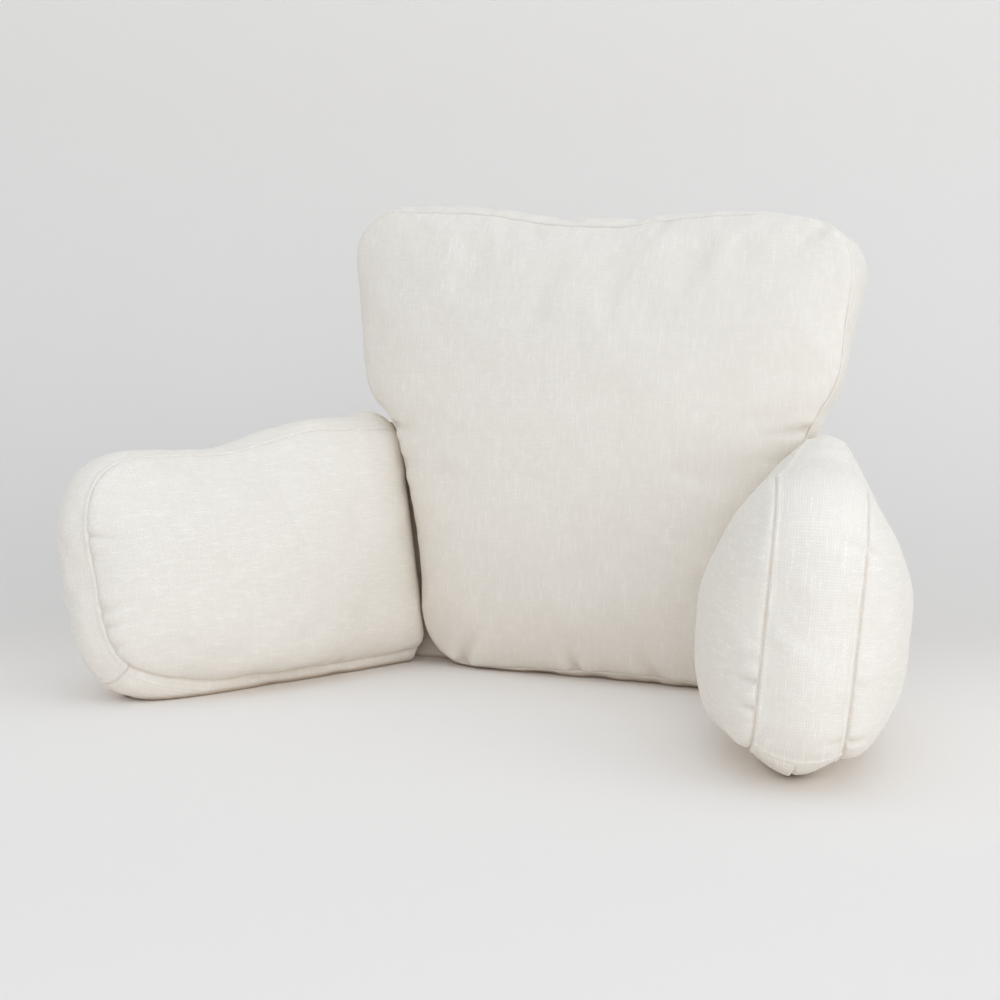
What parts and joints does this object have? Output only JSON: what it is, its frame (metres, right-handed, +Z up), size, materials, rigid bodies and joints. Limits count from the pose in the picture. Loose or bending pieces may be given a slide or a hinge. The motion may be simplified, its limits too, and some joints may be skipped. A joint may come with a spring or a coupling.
{
  "type": "stroller pillow",
  "caption": "Stroller pillow: a shaped, filled back cushion with a neck dip and a waist, and boxed arm cushions hinged to its sides with cloth, standing open as a support seat.",
  "frame": {"origin": "on the floor under the middle of the back cushion", "axes": "+X to the right seen from the front, the front faces -Y, +Z up"},
  "size_m": [0.5743, 0.3442, 0.3523],
  "materials": {
    "cover_cloth": "matt ivory linen-look plain weave with slubs, plain sewn seams and no piping"
  },
  "bodies": {
    "root": {"back_cushion": "cover_cloth", "left_arm_cushion": "cover_cloth", "right_arm_cushion": "cover_cloth", "left_hinge_strip": "cover_cloth", "right_hinge_strip": "cover_cloth"}
  },
  "joints": []
}
